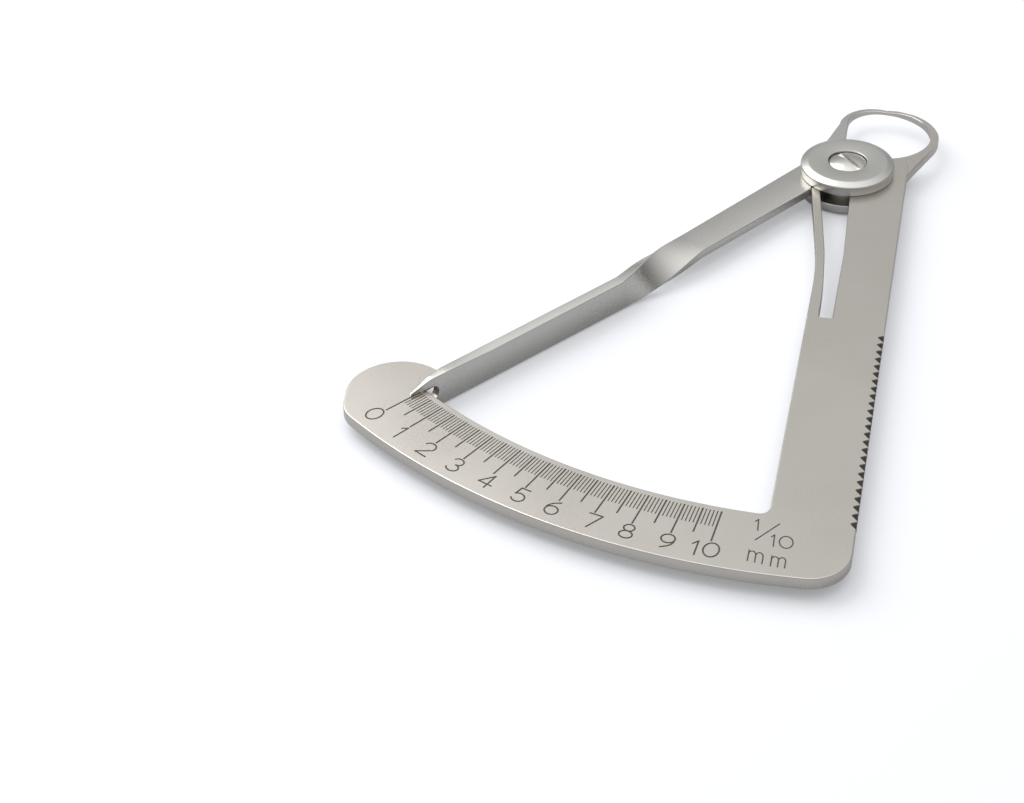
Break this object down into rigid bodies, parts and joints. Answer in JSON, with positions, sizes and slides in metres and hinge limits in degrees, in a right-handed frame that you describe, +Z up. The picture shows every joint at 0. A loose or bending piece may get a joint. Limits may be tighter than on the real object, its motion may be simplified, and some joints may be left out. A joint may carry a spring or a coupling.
{
  "type": "wax_caliper",
  "caption": "Flat spring caliper: a curved jaw pair at a disc-covered pivot, a toothed leg, and a twisted pointer lever whose forked tip reads on a marked quadrant.",
  "frame": {"origin": "On the pivot axis, on the flat lower face of the bottom disc, on which the hub rests.", "axes": "+Z is up along the pivot axis. +Y runs from the pivot towards the jaws, and the toothed leg runs along -Y. +X is to the right, seen from above with the jaws at the top."},
  "size_m": [0.067, 0.1022, 0.0053],
  "materials": {
    "plate_steel": "satin ground stainless sheet with engraved marks",
    "lever_steel": "satin stainless strip",
    "disc_steel": "turned stainless, soft sheen",
    "screw_steel": "turned stainless, brighter on the dome"
  },
  "bodies": {
    "frame": {"frame_plate": "plate_steel", "bottom_disc": "disc_steel", "top_disc": "disc_steel", "pivot_screw": "screw_steel"},
    "lever": {"pointer_lever": "lever_steel"},
    "leaf": {"leaf_spring": "plate_steel"}
  },
  "joints": [
    {"name": "lever_pivot", "type": "hinge", "parent": "frame", "child": "lever", "pos_m": [0, 0, 0.0024], "axis": [0, 0, 1], "range_deg": [0, 32.62], "stiffness_Nm_per_rad": 0.1, "springref_deg": -5.73},
    {"name": "leaf_flexure", "type": "hinge", "parent": "frame", "child": "leaf", "pos_m": [-0.00097, -0.031, 0.0024], "axis": [0, 0, 1], "range_deg": [-7.6, 0]}
  ],
  "couplings": [
    {"joint": "leaf_flexure", "follows": "lever_pivot", "ratio": -0.23}
  ]
}
